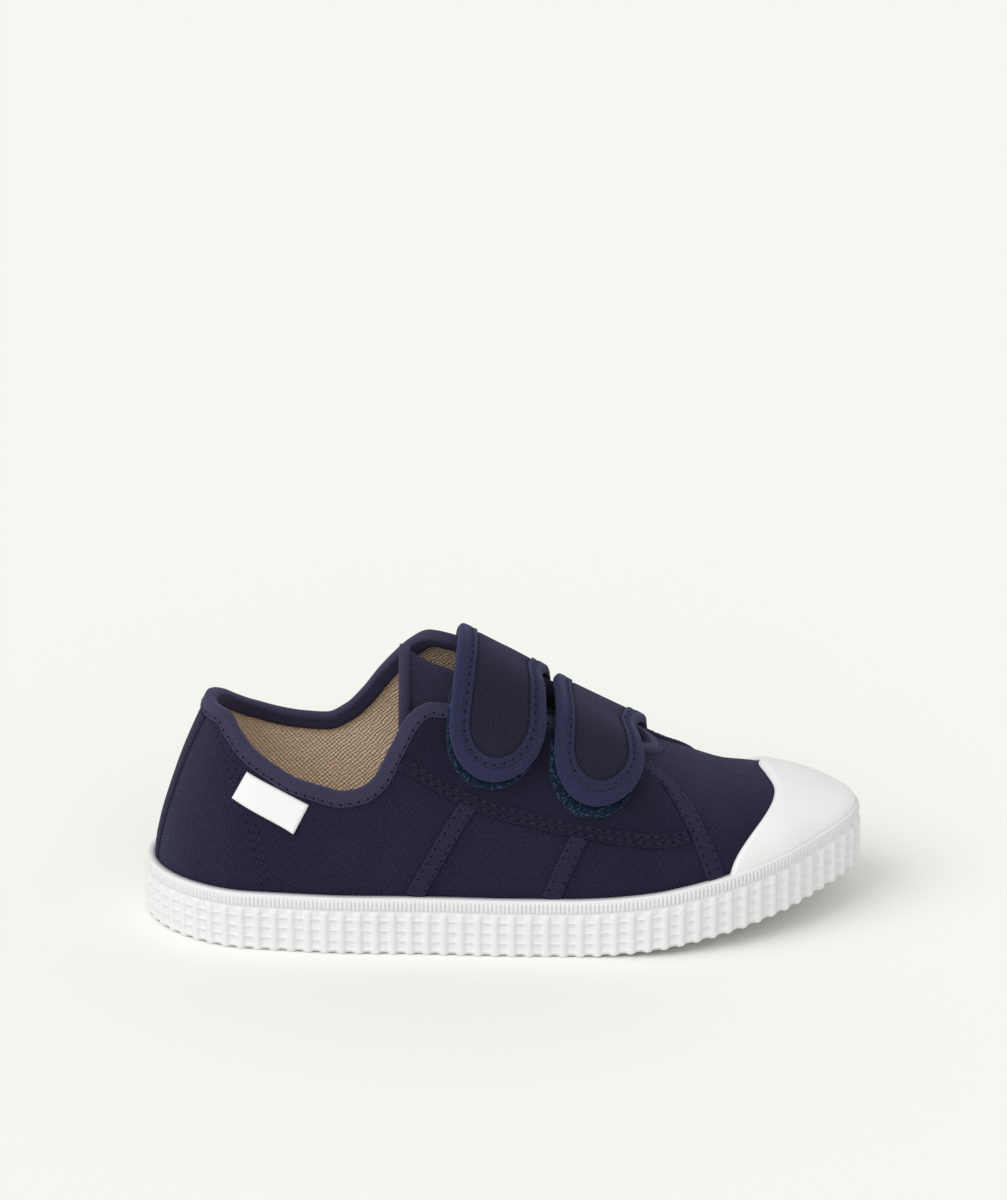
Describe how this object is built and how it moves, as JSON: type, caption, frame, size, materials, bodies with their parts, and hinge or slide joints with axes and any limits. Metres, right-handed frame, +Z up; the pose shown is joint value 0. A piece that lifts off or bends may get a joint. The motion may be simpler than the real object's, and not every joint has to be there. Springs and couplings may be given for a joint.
{
  "type": "canvas sneaker",
  "caption": "Low navy canvas sneaker for a child's right foot, closed by touch-fastening straps over a tongue, with a ribbed white rubber sole and a rubber toe cap.",
  "frame": {"origin": "middle of the heel seat, on the floor", "axes": "+X towards the toe, +Y towards the inner (medial) side, +Z up"},
  "size_m": [0.19, 0.0736, 0.079],
  "materials": {
    "navy_canvas": "woven cotton canvas",
    "navy_tape": "close twill tape",
    "loop_pad": "looped pile",
    "white_tape": "smooth tape",
    "white_rubber": "satin",
    "beige_lining": "coarse plain weave"
  },
  "bodies": {
    "root": {"upper": "navy_canvas", "foxing": "white_rubber", "outsole": "white_rubber", "insole": "beige_lining", "toe_cap": "white_rubber", "tongue": "navy_canvas", "collar_binding": "navy_tape", "backstay": "navy_canvas", "label": "white_tape", "facing_lateral": "navy_canvas", "vamp_tape_lateral": "navy_tape", "side_tape_rear_lateral": "navy_tape", "side_tape_front_lateral": "navy_tape", "facing_medial": "navy_canvas", "vamp_tape_medial": "navy_tape", "side_tape_rear_medial": "navy_tape", "side_tape_front_medial": "navy_tape", "strap_rear": "navy_tape", "pad_rear": "loop_pad", "strap_front": "navy_tape", "pad_front": "loop_pad"}
  },
  "joints": []
}
